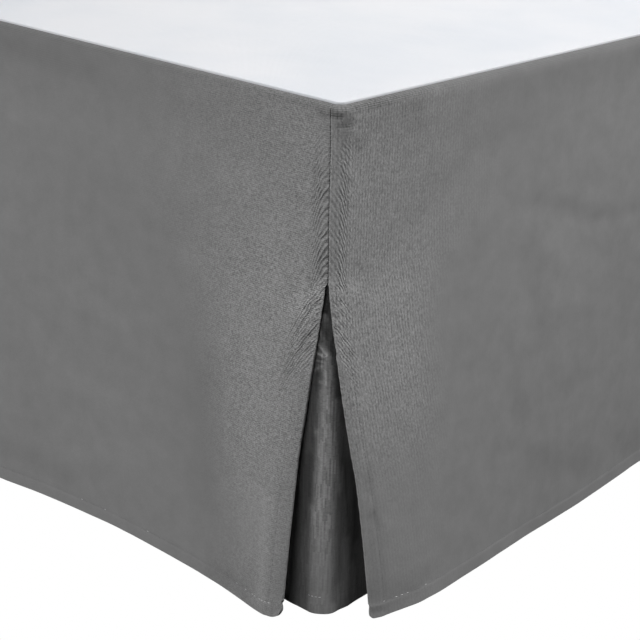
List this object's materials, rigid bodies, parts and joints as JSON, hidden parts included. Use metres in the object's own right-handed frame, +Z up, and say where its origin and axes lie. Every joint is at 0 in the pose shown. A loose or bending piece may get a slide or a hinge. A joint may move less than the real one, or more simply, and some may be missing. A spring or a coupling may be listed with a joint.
{
  "type": "bed skirt on a box spring",
  "caption": "Tailored grey bed skirt with a white deck, hung panels, split corners and folded corner inserts, fitted over a plain box spring on legs.",
  "frame": {"origin": "centre of the bounding box's footprint, on the floor under the legs", "axes": "+Z up, +Y towards the open head end, -Y towards the foot panel, +X towards the right side panel as seen from the foot"},
  "size_m": [1.589, 2.0616, 0.3847],
  "materials": {
    "grey_cloth": "matt plain weave, mid grey, slightly slubbed",
    "white_cloth": "matt smooth white cotton",
    "ticking": "matt plain off-white ticking",
    "beech": "satin stained beech"
  },
  "bodies": {
    "root": {"deck": "white_cloth", "foot_panel": "grey_cloth", "side_panel_right": "grey_cloth", "side_panel_left": "grey_cloth", "corner_insert_right": "grey_cloth", "corner_insert_left": "grey_cloth", "box_spring": "ticking", "leg_1": "beech", "leg_2": "beech", "leg_3": "beech", "leg_4": "beech", "leg_5": "beech", "leg_6": "beech"}
  },
  "joints": []
}
